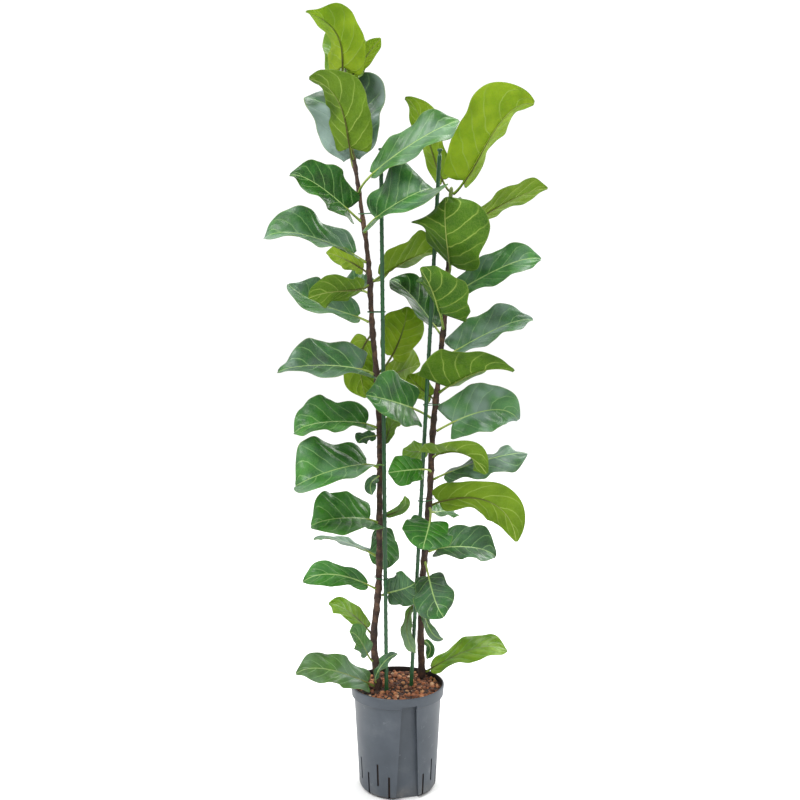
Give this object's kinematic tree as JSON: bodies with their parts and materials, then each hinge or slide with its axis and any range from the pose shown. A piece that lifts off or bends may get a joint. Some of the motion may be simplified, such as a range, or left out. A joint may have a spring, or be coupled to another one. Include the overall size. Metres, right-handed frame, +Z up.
{
  "type": "potted fiddle leaf fig",
  "caption": "Tall fiddle leaf fig of two slim leafy stems tied to green stakes, standing in a grey hydroculture pot filled with clay granules.",
  "frame": {"origin": "centre of the pot's flat underside, on the surface that it stands on", "axes": "+Z up along the pot's axis; -Y towards the side that the picture shows, +X to that view's right"},
  "size_m": [0.5256, 0.3148, 1.4574],
  "materials": {
    "pot_plastic": "satin slate-grey moulded plastic",
    "clay_granules": "dry fired clay granules",
    "bark": "dark knobbly bark with leaf scars, green at the top",
    "stake_coating": "green plastic coating with low nubs",
    "tie_wire": "green coated wire",
    "leaf": "leathery leaf, waxy deep green above with pale veins, paler and dull below",
    "leaf_young": "young leaf, bright yellow-green with a red-brown midrib"
  },
  "bodies": {
    "root": {"pot": "pot_plastic", "granules": "clay_granules", "stem_left": "bark", "stem_right": "bark", "stake_left": "stake_coating", "stake_right": "stake_coating", "tie_left_upper": "tie_wire", "tie_left_middle": "tie_wire", "tie_left_lower": "tie_wire", "tie_right_upper": "tie_wire", "tie_right_lower": "tie_wire", "leaf_left_01": "leaf_young", "leaf_left_02": "leaf_young", "leaf_left_03": "leaf", "leaf_left_04": "leaf", "leaf_left_05": "leaf", "leaf_left_06": "leaf", "leaf_left_07": "leaf", "leaf_left_08": "leaf", "leaf_left_09": "leaf", "leaf_left_10": "leaf", "leaf_left_11": "leaf", "leaf_left_12": "leaf", "leaf_left_13": "leaf", "leaf_left_14": "leaf", "leaf_left_15": "leaf", "leaf_left_16": "leaf", "leaf_left_17": "leaf", "leaf_left_18": "leaf", "leaf_left_19": "leaf", "leaf_left_20": "leaf", "leaf_left_21": "leaf", "leaf_left_22": "leaf", "leaf_left_23": "leaf", "leaf_left_24": "leaf", "leaf_left_25": "leaf", "leaf_left_26": "leaf", "leaf_left_27": "leaf", "leaf_right_01": "leaf_young", "leaf_right_02": "leaf_young", "leaf_right_03": "leaf", "leaf_right_04": "leaf", "leaf_right_05": "leaf", "leaf_right_06": "leaf", "leaf_right_07": "leaf", "leaf_right_08": "leaf", "leaf_right_09": "leaf", "leaf_right_10": "leaf", "leaf_right_11": "leaf", "leaf_right_12": "leaf", "leaf_right_13": "leaf", "leaf_right_14": "leaf", "leaf_right_15": "leaf", "leaf_right_16": "leaf", "leaf_right_17": "leaf", "leaf_right_18": "leaf", "leaf_right_19": "leaf", "leaf_right_20": "leaf"}
  },
  "joints": []
}
